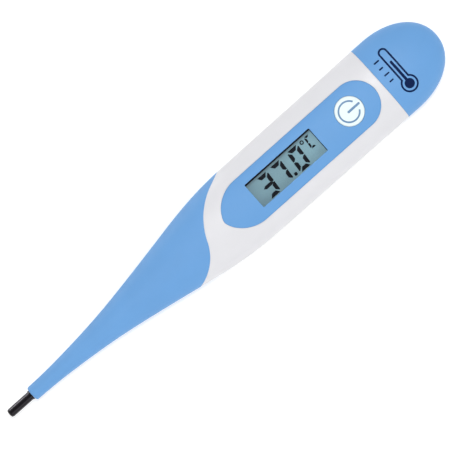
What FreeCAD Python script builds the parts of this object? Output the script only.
import FreeCAD, Part
import math
import os
import re
import Sketcher
from FreeCAD import Rotation, Vector

# Digital thermometer with a flexible nose, built as the pieces that it comes apart into.
# Row frame, millimetres: the probe points to -X, the battery cap to +X, the display faces +Z,
# and the origin is under the middle of the length, on the surface that the back lies on.

SIZES = {
    # outer form
    "form_length": (139.0, "tip of the probe to the end of the cap"),
    "form_axis_z": (6.1, "height of the long axis above the back"),
    "cap_round_x": (124.0, "where the cap starts to round off, from the tip"),
    "cap_round_length": (15.0, "length of the rounded end"),
    "cap_round_width_power": (2.1, "fullness of the rounded end seen from above"),
    "cap_round_height_power": (2.8, "fullness of the rounded end seen from the side"),
    "skin_side": (1.3, "soft skin over the core, at the sides"),
    "skin_top": (1.2, "soft skin over the core, above and below"),
    "core_front_x": (-25.5, "front end of the rigid core, at the sixth station"),
    "core_wall": (1.3, "wall of the hollow core"),
    # boundary of the soft nose, seen from above: two arcs that meet in an S
    "upper_arc_x": (10.9, "centre of the arc on the +Y side"),
    "upper_arc_y": (-7.5, "centre of the arc on the +Y side"),
    "upper_arc_radius": (17.8, "arc on the +Y side"),
    "lower_arc_radius": (11.9, "arc on the -Y side"),
    "inflection_angle": (157.6, "direction from the upper centre to the lower one"),
    "upper_arc_end_angle": (113.5, "where the upper arc runs out in a straight line"),
    # nose and flex line
    "nose_front_x": (-62.2, "front face of the nose"),
    "nose_front_round": (0.55, "rounded front edge of the nose"),
    "flex_x": (-43.0, "line that the nose bends about"),
    "knuckle_radius": (2.5, "rounded end of the front half"),
    "knuckle_gap": (0.15, "clearance round the knuckle"),
    "knuckle_reach": (12.0, "half length of the knuckle before it is trimmed to the nose"),
    "notch_angle": (21.0, "half of the notch at the flex line"),
    "nose_bore_radius": (1.0, "bore for the sleeve and leads"),
    # probe
    "tip_radius": (1.15, "metal tip, outside"),
    "tip_wall": (0.15, "metal tip, wall"),
    "tip_round": (0.7, "rounded end of the tip"),
    "tip_collar_radius": (1.32, "collar that seats the tip in the nose"),
    "tip_collar_x": (-62.6, "front of the collar"),
    "tip_seat_x": (-58.0, "rear end of the tip, inside the nose"),
    "bead_radius": (0.42, "thermistor bead"),
    "bead_front_x": (-68.5, "front of the thermistor bead"),
    "bead_length": (1.7, "thermistor bead"),
    "potting_rear_x": (-62.6, "rear end of the potting in the tip"),
    "lead_radius": (0.2, "one insulated lead"),
    "lead_spread": (0.28, "lead to the long axis"),
    "lead_bend_radius": (5.0, "bends of the rear leads"),
    "lead_first_bend_x": (-6.0, "where the rear leads start to rise"),
    "lead_second_bend_x": (5.0, "where the rear leads run level again"),
    "lead_joint_length": (3.2, "stretch of lead under the board"),
    "sleeve_radius": (0.9, "sleeve round the leads, outside"),
    "sleeve_bore_radius": (0.66, "sleeve round the leads, inside"),
    "sleeve_front_end_x": (-40.7, "rear end of the front sleeve"),
    "sleeve_rear_start_x": (-40.2, "front end of the rear sleeve"),
    "sleeve_rear_end_x": (-14.0, "rear end of the rear sleeve"),
    # housing
    "seam_x": (51.2, "end of the housing, where the cap starts"),
    "cavity_x": (8.3, "front end of the main cavity"),
    "cavity_side": (9.2, "half width of the cavity"),
    "cavity_floor": (1.5, "floor of the cavity"),
    "cavity_roof": (10.0, "roof of the cavity"),
    "cavity_corner": (3.5, "corner radius of the cavity"),
    "channel_half": (1.7, "roof channel that the switch slides out along"),
    "channel_top": (10.5, "top of the roof channel"),
    # display panel, window and lens
    "panel_floor": (11.0, "underside of the display panel"),
    "panel_side": (6.15, "half width of the panel"),
    "panel_left_x": (11.05, "centre of the panel's elliptical end"),
    "panel_left_radius": (10.5, "long radius of the panel's elliptical end"),
    "panel_right_x": (43.05, "centre of the panel's round end"),
    "panel_blank_height": (3.0, "panel before it is trimmed to the outer form"),
    "window_x": (10.3, "left edge of the display window"),
    "window_length": (20.6, "display window"),
    "window_side": (3.55, "half height of the display window"),
    "window_corner": (0.3, "corners of the window"),
    "lens_margin": (1.0, "how far the lens reaches under the panel"),
    "lens_corner": (0.8, "corners of the lens"),
    "lens_bottom": (10.4, "underside of the lens"),
    "gasket_bottom": (10.3, "underside of the lens gasket"),
    "gasket_margin": (0.4, "how far the gasket's opening stands outside the window"),
    # button and its switch
    "button_x": (41.0, "centre of the button and switch"),
    "button_radius": (3.7, "visible disc of the button"),
    "button_top": (12.42, "top of the button"),
    "button_flange_radius": (4.45, "flange that holds the button in"),
    "button_bottom": (10.45, "underside of the button"),
    "button_flange_top": (10.95, "top of the flange"),
    "button_gap": (0.1, "clearance round the button"),
    "button_round": (0.25, "rounded rim of the button"),
    "switch_half": (2.6, "half width of the switch"),
    "switch_top": (9.6, "top of the switch body"),
    "terminal_length": (0.8, "switch terminal"),
    "terminal_width": (0.6, "switch terminal"),
    "terminal_spread": (1.5, "switch terminal to the middle of the switch"),
    "metal_thickness": (0.2, "sheet metal of the terminals"),
    "plunger_radius": (1.05, "switch plunger"),
    "plunger_gap": (0.08, "clearance round the plunger"),
    "plunger_top": (10.35, "top of the plunger at rest"),
    "plunger_foot_radius": (1.5, "foot of the plunger"),
    "plunger_foot_bottom": (8.75, "underside of the plunger's foot"),
    "plunger_foot_top": (9.0, "top of the plunger's foot"),
    "switch_well_radius": (1.7, "well that the dome and foot lie in"),
    "switch_well_floor": (7.9, "floor of that well"),
    "switch_well_roof": (9.15, "roof of that well"),
    "dome_height": (0.8, "snap dome"),
    "dome_thickness": (0.08, "snap dome, at its middle"),
    # circuit board and what is on it
    "board_bottom": (6.9, "underside of the circuit board"),
    "board_top": (7.7, "top of the circuit board"),
    "board_x": (9.0, "front edge of the circuit board"),
    "board_step_x": (45.0, "where the board narrows"),
    "board_end_x": (52.8, "rear edge of the circuit board"),
    "board_side": (7.0, "half width of the board"),
    "board_tail_side": (4.5, "half width of the board's tail"),
    "stake_x": (36.4, "heat stakes that hold the board"),
    "stake_y": (5.9, "heat stakes that hold the board"),
    "stake_radius": (0.6, "heat stake"),
    "stake_proud": (0.3, "top of the stakes over the board"),
    "drop_gap": (0.15, "clearance round pieces that drop into others"),
    "glass_x": (9.4, "left edge of the display glass"),
    "glass_length": (23.8, "display glass"),
    "glass_low_y": (-4.6, "lower edge of the display glass"),
    "front_glass_high_y": (6.2, "upper edge of the front glass"),
    "rear_glass_high_y": (4.2, "upper edge of the rear glass"),
    "glass_thickness": (0.6, "each glass"),
    "film_thickness": (0.15, "polariser and reflector"),
    "film_inset": (0.25, "film to the edge of the glass"),
    "reflector_bottom": (8.3, "underside of the reflector"),
    "zebra_low_y": (4.4, "elastomer connector"),
    "zebra_high_y": (6.0, "elastomer connector"),
    "holder_x": (8.8, "front end of the display holder"),
    "holder_end_x": (34.4, "rear end of the display holder"),
    "holder_side": (7.2, "half width of the display holder"),
    "holder_top": (9.6, "top of the display holder"),
    "holder_corner": (0.6, "corners of the display holder"),
    "chip_x": (32.8, "centre of the chip's resin blob"),
    "chip_radius": (3.0, "resin blob"),
    "chip_height": (0.85, "resin blob"),
    # sounder
    "piezo_x": (19.0, "centre of the sounder"),
    "piezo_radius": (6.5, "brass plate"),
    "piezo_wall": (0.6, "wall of the ring that carries the sounder"),
    "piezo_bottom": (3.0, "underside of the brass plate"),
    "plate_thickness": (0.2, "brass plate"),
    "ceramic_radius": (4.5, "ceramic disc"),
    "ceramic_thickness": (0.2, "ceramic disc"),
    "ceramic_wire_x": (17.0, "wire that lands on the ceramic disc"),
    "plate_wire_x": (24.1, "wire that lands on the brass plate"),
    # carrier
    "carrier_bottom": (5.9, "underside of the carrier's plate"),
    "rail_side": (8.8, "half width over the carrier's rails"),
    "rail_top": (7.5, "top of the rails"),
    "rail_end_x": (44.5, "rear end of the rails"),
    "neck_side": (4.8, "half width of the carrier's neck"),
    "tray_end_x": (63.5, "rear end of the battery tray"),
    "tray_side": (5.6, "half width of the battery tray"),
    "tray_bottom": (3.3, "underside of the battery tray"),
    "tray_top": (8.2, "top of the battery tray"),
    "tray_floor": (3.9, "floor of the battery tray"),
    "push_hole_radius": (1.5, "hole for pushing the cell out"),
    "push_hole_offset": (1.8, "that hole to the middle of the cell"),
    # battery and contacts
    "cell_x": (58.2, "centre of the button cell"),
    "cell_radius": (3.95, "button cell"),
    "cell_bottom": (4.1, "underside of the button cell"),
    "cell_height": (3.6, "button cell"),
    "cell_cap_radius": (3.1, "negative cap of the cell"),
    "cell_cap_height": (0.3, "negative cap of the cell"),
    "cell_gap": (0.1, "clearance round the cell"),
    "cell_round": (0.25, "rounded rims of the cell"),
    "strip_thickness": (0.2, "contact strips"),
    "strip_half": (1.3, "half width of the contact strips"),
    # cap
    "cap_gap": (0.1, "gap between cap and housing"),
    "plug_x": (45.2, "front end of the cap's plug"),
    "plug_clearance": (0.1, "clearance round the plug"),
    "plug_wall": (1.2, "wall of the plug"),
    "cap_hollow_step_x": (58.2, "where the cap's hollow narrows"),
    "cap_hollow_end_x": (64.3, "end of the cap's hollow"),
    "cap_hollow_side": (6.1, "half width of the narrow hollow"),
    "cap_hollow_inset": (1.4, "narrow hollow to the cavity's floor and roof"),
    "cap_hollow_corner": (1.5, "corners of the narrow hollow"),
    "seal_x": (47.2, "front face of the seal"),
    "seal_width": (1.1, "width of the seal along X"),
    "seal_depth": (0.6, "depth of the seal's groove"),
    "seal_clearance": (0.05, "seal to the housing's wall and to the groove's sides"),
}

# Sections of the outer form: distance from the tip, half width, half height, squareness (2 is an ellipse).
STATIONS = [
    (7.3, 1.92, 1.92, 2.0),
    (13.0, 2.05, 2.03, 2.0),
    (20.0, 2.50, 2.35, 2.0),
    (26.0, 3.05, 2.60, 2.0),
    (32.0, 3.75, 2.95, 2.0),
    (44.0, 5.70, 3.75, 2.1),
    (54.0, 7.55, 4.60, 2.2),
    (64.0, 9.35, 5.45, 2.35),
    (73.0, 10.30, 6.00, 2.45),
    (82.0, 10.50, 6.20, 2.5),
    (96.0, 10.55, 6.20, 2.5),
    (110.0, 10.60, 6.20, 2.5),
    (118.0, 10.64, 6.20, 2.5),
    (124.0, 10.65, 6.20, 2.5),
]
STATION_FIELDS = ("x", "side", "height", "power")

SECTION_POINTS = 24
ROUND_END_SHARES = (0.16, 0.34, 0.55, 0.75, 0.88, 0.95, 0.985, 0.9985)
FAR = "40"  # beyond the object on every side

doc = FreeCAD.newDocument("thermometer")
sheet = doc.addObject("Spreadsheet::Sheet", "Sizes")
aliases = set()


# ---------------------------------------------------------------- sheet and expressions


def add_cell(row, alias, number, note=""):
    sheet.set(f"A{row}", alias)
    sheet.set(f"B{row}", str(number))
    sheet.set(f"C{row}", note)
    sheet.setAlias(f"B{row}", alias)
    aliases.add(alias)


def fill_sheet():
    row = 1
    for alias, (number, note) in SIZES.items():
        add_cell(row, alias, number, note)
        row += 1
    for index, station in enumerate(STATIONS):
        for field, number in zip(STATION_FIELDS, station):
            add_cell(row, f"station{index}_{field}", number)
            row += 1
    doc.recompute()


def full(text):
    """The expression with the sheet's name put before each alias."""
    return re.sub(r"[a-z]\w*", lambda m: "Sizes." + m[0] if m[0] in aliases else m[0], str(text))


def number(text):
    return float(sheet.evalExpression(full(text)))


def bind(thing, **expressions):
    """Binds properties; a double underscore in a keyword stands for a dot."""
    for name, text in expressions.items():
        thing.setExpression(name.replace("__", "."), full(text))


def place(thing, x="0", y="0", z="0"):
    bind(thing, Placement__Base__x=x, Placement__Base__y=y, Placement__Base__z=z)
    return thing


# ---------------------------------------------------------------- sketches and bodies


def new_body(name):
    return doc.addObject("PartDesign::Body", name)


def new_sketch(body, plane, offset="0"):
    sketch = body.newObject("Sketcher::SketchObject", body.Name + "_sketch")
    support = next(f for f in body.Origin.OriginFeatures if f.Role == plane)
    sketch.AttachmentSupport = [(support, "")]
    sketch.MapMode = "FlatFace"
    bind(sketch, AttachmentOffset__Base__z=offset)
    return sketch


def pin(sketch, kind, *where, size):
    """Adds a dimension whose value follows an expression."""
    index = sketch.addConstraint(Sketcher.Constraint(kind, *where, number(size)))
    sketch.setExpression(f"Constraints[{index}]", full(size))


def pin_point(sketch, geometry, point, x, y):
    pin(sketch, "DistanceX", geometry, point, size=x)
    pin(sketch, "DistanceY", geometry, point, size=y)


def draw_polygon(sketch, points):
    corners = [Vector(number(x), number(y), 0) for x, y in points]
    count = len(corners)
    first = sketch.GeometryCount
    for i in range(count):
        sketch.addGeometry(Part.LineSegment(corners[i], corners[(i + 1) % count]))
    for i in range(count):
        after = first + (i + 1) % count
        sketch.addConstraint(Sketcher.Constraint("Coincident", first + i, 2, after, 1))
        pin_point(sketch, first + i, 1, *points[i])


def draw_rectangle(sketch, x0, x1, y0, y1):
    draw_polygon(sketch, [(x0, y0), (x1, y0), (x1, y1), (x0, y1)])


def pad(body, sketch, length, midplane=False):
    feature = body.newObject("PartDesign::Pad", body.Name + "_pad")
    feature.Profile = sketch
    feature.Midplane = midplane
    bind(feature, Length=length)
    doc.recompute()
    return feature


def pocket_rectangle(body, z0, depth, x0, x1, y0, y1):
    """Cuts a rectangular pocket upwards from z0."""
    before = body.Shape.Volume
    sketch = new_sketch(body, "XY_Plane", z0)
    draw_rectangle(sketch, x0, x1, y0, y1)
    feature = body.newObject("PartDesign::Pocket", body.Name + "_pocket")
    feature.Profile = sketch
    feature.Reversed = True
    bind(feature, Length=depth)
    doc.recompute()
    if body.Shape.Volume >= before:
        raise RuntimeError(f"a pocket of {body.Label} cut nothing")


def edges_along(shape, direction):
    """Names of the straight edges that run along a direction."""
    names = []
    for index, edge in enumerate(shape.Edges):
        if isinstance(edge.Curve, Part.Line) and abs(abs(edge.Curve.Direction.dot(direction)) - 1) < 1e-6:
            names.append(f"Edge{index + 1}")
    return names


def round_edges(body, feature, direction, radius):
    fillet = body.newObject("PartDesign::Fillet", body.Name + "_fillet")
    fillet.Base = (feature, edges_along(feature.Shape, direction))
    bind(fillet, Radius=radius)
    doc.recompute()


def prism_z(name, x0, x1, y0, y1, z0, z1, corner=None):
    """A rectangle padded upwards, with rounded upright corners."""
    body = new_body(name)
    sketch = new_sketch(body, "XY_Plane", z0)
    draw_rectangle(sketch, x0, x1, y0, y1)
    feature = pad(body, sketch, f"({z1}) - ({z0})")
    if corner:
        round_edges(body, feature, Vector(0, 0, 1), corner)
    return body


def prism_x(name, side, z0, z1, x0, x1, corner):
    """A section that is symmetric about Y, padded towards +X, with its four long corners rounded."""
    body = new_body(name)
    sketch = new_sketch(body, "YZ_Plane", x0)
    draw_rectangle(sketch, f"-({side})", side, z0, z1)
    feature = pad(body, sketch, f"({x1}) - ({x0})")
    round_edges(body, feature, Vector(1, 0, 0), corner)
    return body


def plate_z(name, outline, z0, z1):
    """A flat piece with a polygon outline, padded upwards."""
    body = new_body(name)
    sketch = new_sketch(body, "XY_Plane", z0)
    draw_polygon(sketch, outline)
    pad(body, sketch, f"({z1}) - ({z0})")
    return body


def strip_y(name, outline, width):
    """A side profile in X and Z, padded equally to both sides."""
    body = new_body(name)
    sketch = new_sketch(body, "XZ_Plane")
    draw_polygon(sketch, outline)
    pad(body, sketch, width, midplane=True)
    return body


def turned(name, outline, axis="V_Axis"):
    """A profile in X and Z turned about the local Z axis, or about X for axis H_Axis."""
    body = new_body(name)
    sketch = new_sketch(body, "XZ_Plane")
    draw_polygon(sketch, outline)
    feature = body.newObject("PartDesign::Revolution", name + "_revolution")
    feature.Profile = sketch
    feature.ReferenceAxis = (sketch, [axis])
    feature.Angle = 360
    doc.recompute()
    return body


def round_rims(body, radius, chosen):
    """Fillets the round edges whose (radius, position) the test chooses."""
    feature = body.Tip
    names = []
    for index, edge in enumerate(feature.Shape.Edges):
        if isinstance(edge.Curve, Part.Circle) and chosen(edge.Curve.Radius, edge.Curve.Center):
            names.append(f"Edge{index + 1}")
    fillet = body.newObject("PartDesign::Fillet", body.Name + "_fillet")
    fillet.Base = (feature, names)
    bind(fillet, Radius=radius)
    doc.recompute()


# ---------------------------------------------------------------- Part primitives and booleans


def cylinder_z(name, radius, x, y, z0, z1):
    thing = doc.addObject("Part::Cylinder", name)
    bind(thing, Radius=radius, Height=f"({z1}) - ({z0})")
    return place(thing, x, y, z0)


def cylinder_x(name, radius, x0, x1, y="0", z="form_axis_z"):
    thing = doc.addObject("Part::Cylinder", name)
    thing.Placement.Rotation = Rotation(Vector(0, 1, 0), 90)
    bind(thing, Radius=radius, Height=f"({x1}) - ({x0})")
    return place(thing, x0, y, z)


def cylinder_y(name, radius, x, z, half_length):
    thing = doc.addObject("Part::Cylinder", name)
    thing.Placement.Rotation = Rotation(Vector(1, 0, 0), -90)
    bind(thing, Radius=radius, Height=f"2 * ({half_length})")
    return place(thing, x, f"-({half_length})", z)


def block(name, x0, x1, y0, y1, z0, z1):
    thing = doc.addObject("Part::Box", name)
    bind(thing, Length=f"({x1}) - ({x0})", Width=f"({y1}) - ({y0})", Height=f"({z1}) - ({z0})")
    return place(thing, x0, y0, z0)


def fuse(name, *shapes):
    thing = doc.addObject("Part::MultiFuse", name)
    thing.Shapes = list(shapes)
    thing.Refine = True
    doc.recompute()
    return thing


def cut(name, base, *tools):
    """Takes the tools away from the base, and stops if one of them takes nothing."""
    for index, tool in enumerate(tools):
        step = doc.addObject("Part::Cut", name if index == len(tools) - 1 else f"{name}_step")
        step.Base = base
        step.Tool = tool
        doc.recompute()
        if step.Shape.Volume > base.Shape.Volume - 1e-6:
            raise RuntimeError(f"{tool.Label} takes nothing from {name}")
        base = step
    return base


def common(name, base, tool):
    thing = doc.addObject("Part::Common", name)
    thing.Base = base
    thing.Tool = tool
    doc.recompute()
    return thing


def group(name, *things):
    """Separate solids that share one node."""
    thing = doc.addObject("Part::Compound", name)
    thing.Links = list(things)
    doc.recompute()
    return thing


def shape_object(name, shape):
    thing = doc.addObject("Part::Feature", name)
    thing.Shape = shape
    return thing


# ---------------------------------------------------------------- outer form


def signed_power(base, exponent):
    return math.copysign(abs(base) ** exponent, base)


def section(x, side, height, power):
    """A closed superellipse in a YZ plane."""
    points = []
    for i in range(SECTION_POINTS):
        angle = 2 * math.pi * i / SECTION_POINTS
        y = side * signed_power(math.cos(angle), 2 / power)
        z = height * signed_power(math.sin(angle), 2 / power)
        points.append(Vector(x, y, number("form_axis_z") + z))
    curve = Part.BSplineCurve()
    knots = [i / SECTION_POINTS for i in range(SECTION_POINTS + 1)]
    curve.interpolate(Points=points, PeriodicFlag=True, Parameters=knots)
    edges = []
    for quarter in range(4):
        arc = curve.copy()
        arc.segment(quarter / 4, (quarter + 1) / 4)
        edges.append(arc.toShape())
    return Part.Wire(edges)


def station_sections(inset_side, inset_height, first, last):
    sections = []
    for index in range(first, last + 1):
        x, side, height, power = (number(f"station{index}_{field}") for field in STATION_FIELDS)
        row_x = x - number("form_length") / 2
        sections.append(section(row_x, side - inset_side, height - inset_height, power))
    return sections


def round_end_sections():
    """The end of the cap, a superellipse both from above and from the side."""
    start = number("cap_round_x") - number("form_length") / 2
    last = len(STATIONS) - 1
    side, height, power = (number(f"station{last}_{field}") for field in STATION_FIELDS[1:])
    width_power = number("cap_round_width_power")
    height_power = number("cap_round_height_power")
    sections = []
    for share in ROUND_END_SHARES:
        across = (1 - share**width_power) ** (1 / width_power)
        upward = (1 - share**height_power) ** (1 / height_power)
        x = start + share * number("cap_round_length")
        sections.append(section(x, side * across, height * upward, power))
    return sections


def make_forms():
    """The styling surface, the rigid core under the soft skin, and the hollow inside the core."""
    last = len(STATIONS) - 1
    sections = station_sections(0, 0, 0, last) + round_end_sections()
    form = shape_object("styling_form", Part.makeLoft(sections, True, False))
    front = number("nose_front_x") + 0.01
    radius = number("nose_front_round")
    rounded = doc.addObject("Part::Fillet", "rounded_form")
    rounded.Base = form
    rounded.Edges = [
        (index + 1, radius, radius)
        for index, edge in enumerate(form.Shape.Edges)
        if edge.BoundBox.XMax < front
    ]
    above_back = block("above_back", f"-2 * {FAR}", f"2 * {FAR}", f"-{FAR}", FAR, "0", FAR)
    outer = common("outer_form", rounded, above_back)
    skin = (number("skin_side"), number("skin_top"))
    core = shape_object("core_form", Part.makeLoft(station_sections(*skin, 5, 9), True, False))
    inner = [thickness + number("core_wall") for thickness in skin]
    hollow = shape_object("core_hollow", Part.makeLoft(station_sections(*inner, 6, 9), True, False))
    return outer, core, hollow


def nose_zone():
    """Everything on the nose's side of the S-shaped boundary, as an upright prism."""
    body = new_body("nose_zone")
    sketch = new_sketch(body, "XY_Plane", "-1")
    ux, uy, ur = number("upper_arc_x"), number("upper_arc_y"), number("upper_arc_radius")
    lr = number("lower_arc_radius")
    turn = math.radians(number("inflection_angle"))
    end = math.radians(number("upper_arc_end_angle"))
    lx = ux + (ur + lr) * math.cos(turn)
    ly = uy + (ur + lr) * math.sin(turn)
    run = Vector(ux + ur * math.cos(end), uy + ur * math.sin(end), 0)
    top = number(FAR)
    slope = Vector(math.sin(end), -math.cos(end), 0)
    out = run + slope * 20
    upper = Part.ArcOfCircle(Part.Circle(Vector(ux, uy, 0), Vector(0, 0, 1), ur), end, turn)
    lower = Part.ArcOfCircle(
        Part.Circle(Vector(lx, ly, 0), Vector(0, 0, 1), lr), 1.5 * math.pi, turn + math.pi
    )
    bottom = Vector(lx, ly - lr, 0)
    corners = [out, Vector(out.x, top, 0), Vector(-2 * top, top, 0), Vector(-2 * top, bottom.y, 0), bottom]
    sketch.addGeometry(upper)
    sketch.addGeometry(lower)
    sketch.addGeometry(Part.LineSegment(run, out))
    for a, b in zip(corners, corners[1:]):
        sketch.addGeometry(Part.LineSegment(a, b))
    join = [("Tangent", 0, 2, 1, 2), ("Tangent", 0, 1, 2, 1), ("Tangent", 1, 1, 6, 2)]
    join += [("Coincident", 2, 2, 3, 1)]
    join += [("Coincident", i, 2, i + 1, 1) for i in (3, 4, 5)]
    join += [("Vertical", 3), ("Horizontal", 4), ("Vertical", 5), ("Horizontal", 6)]
    for entry in join:
        sketch.addConstraint(Sketcher.Constraint(*entry))
    pin_point(sketch, 0, 3, "upper_arc_x", "upper_arc_y")
    pin(sketch, "Radius", 0, size="upper_arc_radius")
    pin(sketch, "Radius", 1, size="lower_arc_radius")
    reach = "(upper_arc_radius + lower_arc_radius)"
    pin(sketch, "DistanceX", 1, 3, size=f"upper_arc_x + {reach} * cos(inflection_angle * 1deg)")
    pin(sketch, "DistanceX", 0, 1, size="upper_arc_x + upper_arc_radius * cos(upper_arc_end_angle * 1deg)")
    pin(sketch, "DistanceX", 2, 2, size=str(out.x))
    pin(sketch, "DistanceY", 4, 1, size=FAR)
    pin(sketch, "DistanceX", 5, 1, size=f"-2 * {FAR}")
    pad(body, sketch, FAR)
    return body


# ---------------------------------------------------------------- soft nose and probe


def flex_zones():
    """The two sides of the notch at the flex line, seen from the side."""
    reach = "8"
    lean = f"{reach} * tan(notch_angle * 1deg)"
    low, high = f"form_axis_z - {reach}", f"form_axis_z + {reach}"
    front = [
        ("flex_x", "form_axis_z"),
        (f"flex_x - {lean}", high),
        (f"-2 * {FAR}", high),
        (f"-2 * {FAR}", low),
        (f"flex_x - {lean}", low),
    ]
    rear = [
        ("flex_x", "form_axis_z"),
        (f"flex_x + {lean}", low),
        (FAR, low),
        (FAR, high),
        (f"flex_x + {lean}", high),
    ]
    width = f"2 * {FAR}"
    return strip_y("front_of_flex", front, width), strip_y("rear_of_flex", rear, width)


def make_nose(outer, core, zone):
    """The soft nose, in two halves that meet in a knuckle at the flex line."""
    skin = common("nose_blank", outer, zone)
    front_side, rear_side = flex_zones()
    sleeve_bore = cylinder_x("nose_bore", "nose_bore_radius", "tip_seat_x - 1", "core_front_x + 4")
    knuckle = cylinder_y("knuckle", "knuckle_radius", "flex_x", "form_axis_z", "knuckle_reach")
    front_zone = fuse("front_zone", front_side, knuckle)
    front = common("nose_front_blank", skin, front_zone)
    tip_bore = cylinder_x("tip_bore", "tip_collar_radius", "nose_front_x - 1", "tip_seat_x")
    cut("nose_front", front, sleeve_bore, tip_bore)
    rear = common("nose_rear_blank", skin, rear_side)
    socket = cylinder_y("socket", "knuckle_radius + knuckle_gap", "flex_x", "form_axis_z", "knuckle_reach")
    cut("nose_rear", rear, socket, core, sleeve_bore)


def make_probe():
    """Metal tip, thermistor, potting, leads and sleeves."""
    front = "-form_length / 2"
    inner = "tip_radius - tip_wall"
    tip = turned(
        "metal_tip",
        [
            (front, "0"),
            (front, "tip_radius"),
            ("tip_collar_x", "tip_radius"),
            ("tip_collar_x", "tip_collar_radius"),
            ("tip_seat_x", "tip_collar_radius"),
            ("tip_seat_x", inner),
            (f"{front} + tip_wall", inner),
            (f"{front} + tip_wall", "0"),
        ],
        "H_Axis",
    )
    outer_radius = number("tip_radius")
    collar_x = number("tip_collar_x")
    round_rims(tip, "tip_round", lambda r, c: abs(r - outer_radius) < 1e-6 and c.x < collar_x - 1)
    place(tip, z="form_axis_z")

    bead = turned(
        "thermistor_bead",
        [
            ("bead_front_x", "0"),
            ("bead_front_x", "bead_radius"),
            ("bead_front_x + bead_length", "bead_radius"),
            ("bead_front_x + bead_length", "0"),
        ],
        "H_Axis",
    )
    round_rims(bead, "bead_radius * 0.8", lambda r, c: True)
    place(bead, z="form_axis_z")

    lead_start = "bead_front_x + bead_length"
    leads = [
        cylinder_x("lead_front", "lead_radius", lead_start, "sleeve_front_end_x", f"{sign}lead_spread")
        for sign in ("", "-")
    ]
    group("lead_wires_front", *leads)

    fill = cylinder_x("potting_blank", inner, f"{front} + tip_wall", "potting_rear_x")
    cut("tip_potting", fill, bead, *leads)

    for name, start, end in (
        ("lead_sleeve_front", "potting_rear_x", "sleeve_front_end_x"),
        ("lead_sleeve_rear", "sleeve_rear_start_x", "sleeve_rear_end_x"),
    ):
        outside = cylinder_x(name + "_outside", "sleeve_radius", start, end)
        inside = cylinder_x(name + "_inside", "sleeve_bore_radius", f"{start} - 1", f"{end} + 1")
        cut(name, outside, inside)


def bent_lead(y, z_end):
    """A lead from the flex line to the board's underside, with two gentle bends."""
    z0 = number("form_axis_z")
    bend = number("lead_bend_radius")
    points = [
        Vector(number("sleeve_rear_start_x"), y, z0),
        Vector(number("lead_first_bend_x"), y, z0),
        Vector(number("lead_second_bend_x"), y * 2, z_end),
        Vector(number("board_x + lead_joint_length"), y * 2, z_end),
    ]
    edges, cursor = [], points[0]
    for before, corner, after in zip(points, points[1:], points[2:]):
        into = (corner - before).normalize()
        out = (after - corner).normalize()
        turn = into.getAngle(out)
        back = bend * math.tan(turn / 2)
        first, last = corner - into * back, corner + out * back
        bulge = (out - into).normalize()
        middle = corner + bulge * (bend / math.cos(turn / 2) - bend)
        edges.append(Part.LineSegment(cursor, first).toShape())
        edges.append(Part.Arc(first, middle, last).toShape())
        cursor = last
    edges.append(Part.LineSegment(cursor, points[-1]).toShape())
    path = Part.Wire(edges)
    profile = Part.Wire(Part.makeCircle(number("lead_radius"), points[0], Vector(1, 0, 0)))
    return path.makePipeShell([profile], True, True)


def make_rear_leads():
    spread = number("lead_spread")
    z_end = number("board_bottom") - number("lead_radius")
    shape_object("lead_wires_rear", Part.Compound([bent_lead(side * spread, z_end) for side in (1, -1)]))


# ---------------------------------------------------------------- housing, panel, lens


def window_prism(name, margin, z0, z1, corner=None):
    return prism_z(
        name,
        f"window_x - ({margin})",
        f"window_x + window_length + ({margin})",
        f"-window_side - ({margin})",
        f"window_side + ({margin})",
        z0,
        z1,
        corner,
    )


def make_housing(outer, core, hollow, zone):
    """The rigid shell: outer wall, core under the soft skin, cavity, window seat and button hole."""
    past_seam = block("past_seam", "seam_x", f"2 * {FAR}", f"-{FAR}", FAR, "-1", FAR)
    blank = cut("housing_blank", outer, zone, past_seam)
    solid = fuse("housing_solid", blank, core)
    cavity = prism_x(
        "cavity", "cavity_side", "cavity_floor", "cavity_roof", "cavity_x", "seam_x + 5", "cavity_corner"
    )
    bore = cylinder_x("core_bore", "nose_bore_radius", "core_front_x - 1", "0")
    panel_seat = panel_prism("panel_seat")
    lens_seat = window_prism("lens_seat", "lens_margin", "gasket_bottom", "panel_floor + 1", "lens_corner")
    opening = window_prism("glass_opening", "gasket_margin", "cavity_roof - 1", "gasket_bottom + 0.1")
    hole = cylinder_z(
        "button_hole", "button_flange_radius + drop_gap", "button_x", "0", "cavity_roof - 1", "panel_floor + 1"
    )
    channel = block(
        "switch_channel", "button_x - 2.5", "seam_x + 5", "-channel_half", "channel_half",
        "cavity_roof - 1", "channel_top",
    )
    cut("housing_shell", solid, cavity, hollow, bore, panel_seat, lens_seat, opening, hole, channel)


def panel_prism(name):
    """The panel's outline, half an ellipse at the nose end and half a circle at the cap end."""
    outline = doc.addObject("Part::Ellipse", name + "_ellipse")
    bind(outline, MajorRadius="panel_left_radius", MinorRadius="panel_side")
    place(outline, "panel_left_x", "0", "panel_floor")
    left = doc.addObject("Part::Extrusion", name + "_left")
    left.Base = outline
    left.DirMode = "Custom"
    left.Dir = Vector(0, 0, 1)
    left.Solid = True
    bind(left, LengthFwd="panel_blank_height")
    top = "panel_floor + panel_blank_height"
    middle = block(
        name + "_middle", "panel_left_x", "panel_right_x", "-panel_side", "panel_side", "panel_floor", top
    )
    right = cylinder_z(name + "_right", "panel_side", "panel_right_x", "0", "panel_floor", top)
    return fuse(name, left, middle, right)


def make_panel(outer):
    blank = common("panel_blank", outer, panel_prism("panel_outline"))
    through = ("panel_floor - 1", "panel_floor + panel_blank_height + 1")
    window = window_prism("window_cut", "0", *through, "window_corner")
    hole = cylinder_z("panel_hole", "button_radius + button_gap", "button_x", "0", *through)
    cut("display_panel", blank, window, hole)


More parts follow.
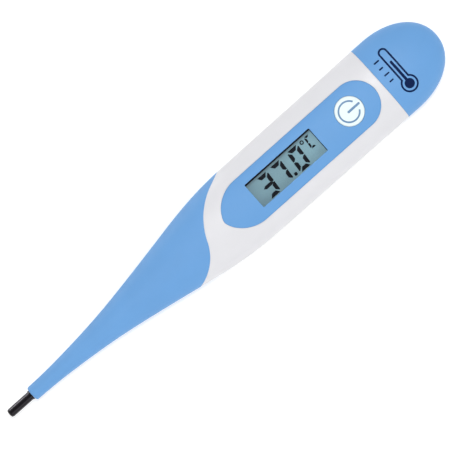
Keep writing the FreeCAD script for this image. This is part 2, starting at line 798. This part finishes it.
def make_window():
    window_prism("window_lens", "lens_margin", "lens_bottom", "panel_floor", "lens_corner")
    ring = window_prism("gasket_ring", "lens_margin", "gasket_bottom", "lens_bottom", "lens_corner")
    inside = window_prism("gasket_inside", "gasket_margin", "gasket_bottom - 1", "lens_bottom + 1")
    cut("lens_gasket", ring, inside)


# ---------------------------------------------------------------- button and switch


def make_button():
    button = turned(
        "button_cap",
        [
            ("0", "button_bottom"),
            ("button_flange_radius", "button_bottom"),
            ("button_flange_radius", "button_flange_top"),
            ("button_radius", "button_flange_top"),
            ("button_radius", "button_top"),
            ("0", "button_top"),
        ],
    )
    top = number("button_top")
    round_rims(button, "button_round", lambda r, c: abs(c.z - top) < 1e-6)
    place(button, "button_x")


def make_switch():
    """A tactile switch: body, terminals, snap dome and plunger."""
    body = block(
        "switch_blank", "button_x - switch_half", "button_x + switch_half", "-switch_half", "switch_half",
        "board_top", "switch_top",
    )
    well = cylinder_z(
        "switch_well", "switch_well_radius", "button_x", "0", "switch_well_floor", "switch_well_roof"
    )
    hole = cylinder_z(
        "switch_hole", "plunger_radius + plunger_gap", "button_x", "0", "switch_well_floor", "switch_top + 1"
    )
    cut("switch_body", body, well, hole)

    terminals = []
    for x0 in ("button_x - switch_half - terminal_length", "button_x + switch_half"):
        for middle in ("-terminal_spread", "terminal_spread"):
            y0, y1 = f"{middle} - terminal_width / 2", f"{middle} + terminal_width / 2"
            spans = (x0, f"{x0} + terminal_length", y0, y1, "board_top", "board_top + metal_thickness")
            terminals.append(block("terminal", *spans))
    group("switch_terminals", *terminals)

    plunger = turned(
        "switch_plunger",
        [
            ("0", "plunger_foot_bottom"),
            ("plunger_foot_radius", "plunger_foot_bottom"),
            ("plunger_foot_radius", "plunger_foot_top"),
            ("plunger_radius", "plunger_foot_top"),
            ("plunger_radius", "plunger_top"),
            ("0", "plunger_top"),
        ],
    )
    place(plunger, "button_x")

    dome = turned(
        "switch_dome",
        [
            ("0", "switch_well_floor + dome_height - dome_thickness"),
            ("switch_well_radius * 0.53", "switch_well_floor + dome_height * 0.7"),
            ("switch_well_radius * 0.88", "switch_well_floor"),
            ("switch_well_radius * 0.95", "switch_well_floor"),
            ("switch_well_radius * 0.59", "switch_well_floor + dome_height * 0.78"),
            ("0", "switch_well_floor + dome_height"),
        ],
    )
    place(dome, "button_x")


# ---------------------------------------------------------------- display module and board


def film(name, z0, high_y):
    return prism_z(
        name,
        "glass_x + film_inset",
        "glass_x + glass_length - film_inset",
        "glass_low_y + film_inset",
        high_y,
        z0,
        f"{z0} + film_thickness",
    )


def make_display():
    """Reflector, rear glass, front glass, polariser, connector and holder, from the board upwards."""
    rear_glass_bottom = "reflector_bottom + film_thickness"
    front_glass_bottom = f"{rear_glass_bottom} + glass_thickness"
    front_glass_top = f"{front_glass_bottom} + glass_thickness"
    glass_end = "glass_x + glass_length"
    film("lcd_reflector", "reflector_bottom", "rear_glass_high_y - film_inset")
    prism_z(
        "lcd_rear_glass", "glass_x", glass_end, "glass_low_y", "rear_glass_high_y",
        rear_glass_bottom, front_glass_bottom,
    )
    prism_z(
        "lcd_front_glass", "glass_x", glass_end, "glass_low_y", "front_glass_high_y",
        front_glass_bottom, front_glass_top,
    )
    film("lcd_polariser", front_glass_top, "rear_glass_high_y - film_inset")
    prism_z(
        "zebra_connector", "glass_x + 1.1", f"{glass_end} - 1.1", "zebra_low_y", "zebra_high_y",
        "board_top", front_glass_bottom,
    )
    holder = prism_z(
        "lcd_holder", "holder_x", "holder_end_x", "-holder_side", "holder_side",
        "board_top", "holder_top", "holder_corner",
    )
    pocket_rectangle(
        holder, "board_top", "reflector_bottom - board_top", "glass_x + 1", f"{glass_end} - 1",
        "glass_low_y + 0.8", "front_glass_high_y + drop_gap",
    )
    pocket_rectangle(
        holder, "reflector_bottom", "holder_top", "glass_x - drop_gap", f"{glass_end} + drop_gap",
        "glass_low_y - drop_gap", "front_glass_high_y + drop_gap",
    )


def make_board():
    outline = [
        ("board_x", "-board_side"),
        ("board_step_x", "-board_side"),
        ("board_step_x", "-board_tail_side"),
        ("board_end_x", "-board_tail_side"),
        ("board_end_x", "board_tail_side"),
        ("board_step_x", "board_tail_side"),
        ("board_step_x", "board_side"),
        ("board_x", "board_side"),
    ]
    blank = plate_z("board_blank", outline, "board_bottom", "board_top")
    holes = [
        cylinder_z(
            "stake_hole", "stake_radius", "stake_x", f"{sign}stake_y", "board_bottom - 1", "board_top + 1"
        )
        for sign in ("", "-")
    ]
    cut("circuit_board", blank, *holes)

    blob = turned(
        "chip_blob",
        [
            ("0", "board_bottom"),
            ("chip_radius", "board_bottom"),
            ("chip_radius * 0.93", "board_bottom - chip_height * 0.45"),
            ("chip_radius * 0.66", "board_bottom - chip_height * 0.86"),
            ("0", "board_bottom - chip_height"),
        ],
    )
    place(blob, "chip_x")

    # x, y of the chip parts in front of the switch, on top of the board
    resistors = [(35.4, -1.9), (35.4, 1.9), (37.4, -3.9)]
    capacitors = [(35.4, 0.0), (46.8, 2.9)]
    for name, spots, length, width, height in (
        ("chip_resistors", resistors, 1.0, 0.5, 0.35),
        ("chip_capacitors", capacitors, 1.0, 0.6, 0.6),
    ):
        chips = []
        for x, y in spots:
            ends = (f"{x} - {length} / 2", f"{x} + {length} / 2")
            sides = (f"{y} - {width} / 2", f"{y} + {width} / 2")
            chips.append(block("chip", *ends, *sides, "board_top", f"board_top + {height}"))
        group(name, *chips)


def make_sounder():
    """Brass plate and ceramic disc under the carrier, with two wires up to the board."""
    top = "piezo_bottom + plate_thickness"
    ceramic_top = f"{top} + ceramic_thickness"
    cylinder_z("sounder_plate", "piezo_radius", "piezo_x", "0", "piezo_bottom", top)
    cylinder_z("sounder_ceramic", "ceramic_radius", "piezo_x", "0", top, ceramic_top)
    to_ceramic = cylinder_z("sounder_wire", "lead_radius", "ceramic_wire_x", "0", ceramic_top, "board_bottom")
    to_plate = cylinder_z("sounder_wire", "lead_radius", "plate_wire_x", "0", top, "board_bottom")
    group("sounder_wires", to_ceramic, to_plate)


# ---------------------------------------------------------------- carrier and battery


def make_carrier():
    """The sliding chassis: plate, side rails, heat stakes, sounder ring and battery tray."""
    plate = plate_z(
        "carrier_plate",
        [
            ("holder_x", "-rail_side"),
            ("rail_end_x", "-rail_side"),
            ("rail_end_x", "-neck_side"),
            ("board_end_x", "-neck_side"),
            ("board_end_x", "neck_side"),
            ("rail_end_x", "neck_side"),
            ("rail_end_x", "rail_side"),
            ("holder_x", "rail_side"),
        ],
        "carrier_bottom",
        "board_bottom",
    )
    rails = [
        block("rail", "holder_x", "rail_end_x", y0, y1, "board_bottom", "rail_top")
        for y0, y1 in (("board_side + drop_gap", "rail_side"), ("-rail_side", "-board_side - drop_gap"))
    ]
    stake_top = "board_top + stake_proud"
    stakes = [
        cylinder_z("stake", "stake_radius", "stake_x", f"{sign}stake_y", "board_bottom", stake_top)
        for sign in ("", "-")
    ]
    top = "piezo_bottom + plate_thickness"
    ring = cylinder_z("sounder_ring", "piezo_radius", "piezo_x", "0", top, "carrier_bottom + 0.2")
    tray = block(
        "tray", "board_end_x", "tray_end_x", "-tray_side", "tray_side", "tray_bottom", "tray_top"
    )
    solid = fuse("carrier_solid", plate, *rails, *stakes, ring, tray)

    through = ("carrier_bottom - 1", "board_bottom + 0.5")
    chamber = cylinder_z(
        "sounder_chamber", "piezo_radius - piezo_wall", "piezo_x", "0", "piezo_bottom", "carrier_bottom"
    )
    chip_opening = cylinder_z("chip_opening", "chip_radius + 0.5", "chip_x", "0", *through)
    lead_notch = block("lead_notch", "holder_x - 1", "board_x + 3.8", "-1.4", "1.4", *through)
    wire_holes = [
        cylinder_z("wire_hole", "lead_radius + drop_gap", x, "0", *through)
        for x in ("ceramic_wire_x", "plate_wire_x")
    ]
    cell_well = cylinder_z("cell_well", "cell_radius + cell_gap", "cell_x", "0", "tray_floor", "tray_top + 1")
    push_hole = cylinder_z(
        "push_hole", "push_hole_radius", "cell_x + push_hole_offset", "0", "tray_bottom - 1", "tray_floor + 0.5"
    )
    strip_slot = block(
        "strip_slot", "board_end_x - 4.6", "cell_x - 1", "-strip_half - 0.1", "strip_half + 0.1",
        "tray_floor", "tray_top + 1",
    )
    tray_cuts = (cell_well, push_hole, strip_slot)
    cut("carrier_frame", solid, chamber, chip_opening, lead_notch, *wire_holes, *tray_cuts)


def make_battery():
    """A button cell with its positive side up, and the two sprung strips that touch it."""
    cell = turned(
        "battery_cell",
        [
            ("0", "cell_bottom"),
            ("cell_cap_radius", "cell_bottom"),
            ("cell_cap_radius", "cell_bottom + cell_cap_height"),
            ("cell_radius", "cell_bottom + cell_cap_height"),
            ("cell_radius", "cell_bottom + cell_height"),
            ("0", "cell_bottom + cell_height"),
        ],
    )
    wide = number("cell_radius")
    round_rims(cell, "cell_round", lambda r, c: abs(r - wide) < 1e-6)
    place(cell, "cell_x")

    strip_y(
        "positive_contact",
        [
            ("board_end_x - 6", "board_top"),
            ("cell_x + 1.5", "board_top"),
            ("cell_x + 1.5", "board_top + strip_thickness"),
            ("board_end_x - 6", "board_top + strip_thickness"),
        ],
        "2 * strip_half",
    )
    drop_x = "board_end_x - 0.8"
    strip_y(
        "negative_contact",
        [
            ("board_end_x - 4.3", "board_bottom"),
            ("board_end_x - 4.3", "board_bottom - strip_thickness"),
            (drop_x, "board_bottom - strip_thickness"),
            (drop_x, "tray_floor"),
            ("cell_x + 0.2", "tray_floor"),
            ("cell_x + 0.2", "tray_floor + strip_thickness"),
            (f"{drop_x} + strip_thickness", "tray_floor + strip_thickness"),
            (f"{drop_x} + strip_thickness", "board_bottom"),
        ],
        "2 * strip_half",
    )


# ---------------------------------------------------------------- cap


def plug_prism(name, inset, x0, x1):
    """The cap's plug section, the cavity's section drawn in by an inset."""
    return prism_x(
        name, f"cavity_side - ({inset})", f"cavity_floor + ({inset})", f"cavity_roof - ({inset})",
        x0, x1, f"cavity_corner - ({inset})",
    )


def make_cap(outer):
    """The pull-off cap: rounded shell, plug with a seal groove, and the hollow that clears the tray."""
    before_seam = block("before_seam", f"-2 * {FAR}", "seam_x + cap_gap", f"-{FAR}", FAR, "-1", FAR)
    shell = cut("cap_shell", outer, before_seam)
    plug = plug_prism("plug", "plug_clearance", "plug_x", "seam_x + 2")
    solid = fuse("cap_solid", shell, plug)
    wide = plug_prism("cap_hollow_wide", "plug_clearance + plug_wall", "plug_x - 1", "cap_hollow_step_x")
    narrow = prism_x(
        "cap_hollow_narrow", "cap_hollow_side",
        "cavity_floor + cap_hollow_inset", "cavity_roof - cap_hollow_inset",
        "cap_hollow_step_x - 0.5", "cap_hollow_end_x", "cap_hollow_corner",
    )
    seal_end = "seal_x + seal_width"
    outside = plug_prism("groove_outside", "-1", "seal_x", seal_end)
    inside = plug_prism("groove_inside", "plug_clearance + seal_depth", "seal_x - 1", f"{seal_end} + 1")
    groove = cut("seal_groove", outside, inside)
    cut("battery_cap", solid, wide, narrow, groove)
    ring_ends = ("seal_x + seal_clearance", f"{seal_end} - seal_clearance")
    ring = plug_prism("seal_ring", "seal_clearance", *ring_ends)
    cut("cap_seal", ring, inside)


# ---------------------------------------------------------------- build and export

SUB_PARTS = [
    "housing_shell", "nose_rear", "display_panel", "window_lens", "lens_gasket", "lead_sleeve_rear",
    "lead_wires_rear", "nose_front", "metal_tip", "thermistor_bead", "tip_potting", "lead_wires_front",
    "lead_sleeve_front", "button_cap", "switch_plunger", "switch_body", "switch_terminals", "switch_dome",
    "carrier_frame", "circuit_board", "lcd_holder", "lcd_reflector", "lcd_rear_glass", "lcd_front_glass",
    "lcd_polariser", "zebra_connector", "chip_blob", "chip_resistors", "chip_capacitors", "sounder_plate",
    "sounder_ceramic", "sounder_wires", "battery_cell", "positive_contact", "negative_contact",
    "battery_cap", "cap_seal",
]


def check_document():
    for thing in doc.Objects:
        if "Invalid" in thing.State or "Error" in thing.State:
            raise RuntimeError(f"{thing.Name} failed: {thing.State}")


def export_parts():
    os.makedirs("parts", exist_ok=True)
    for name in SUB_PARTS:
        part = doc.getObject(name)
        part.Label = name
        shape = part.Shape
        if shape.isNull() or not shape.isValid() or not shape.Solids:
            raise RuntimeError(f"{name} has no valid solid")
        print(f"{name}: {len(shape.Solids)} solid(s), {shape.Volume:.2f} mm3")
        shape.exportStep(os.path.join("parts", name + ".step"))


def main():
    fill_sheet()
    outer, core, hollow = make_forms()
    zone = nose_zone()
    make_nose(outer, core, zone)
    make_probe()
    make_rear_leads()
    make_housing(outer, core, hollow, zone)
    make_panel(outer)
    make_window()
    make_button()
    make_switch()
    make_display()
    make_board()
    make_sounder()
    make_carrier()
    make_battery()
    make_cap(outer)
    doc.recompute()
    check_document()
    export_parts()


main()
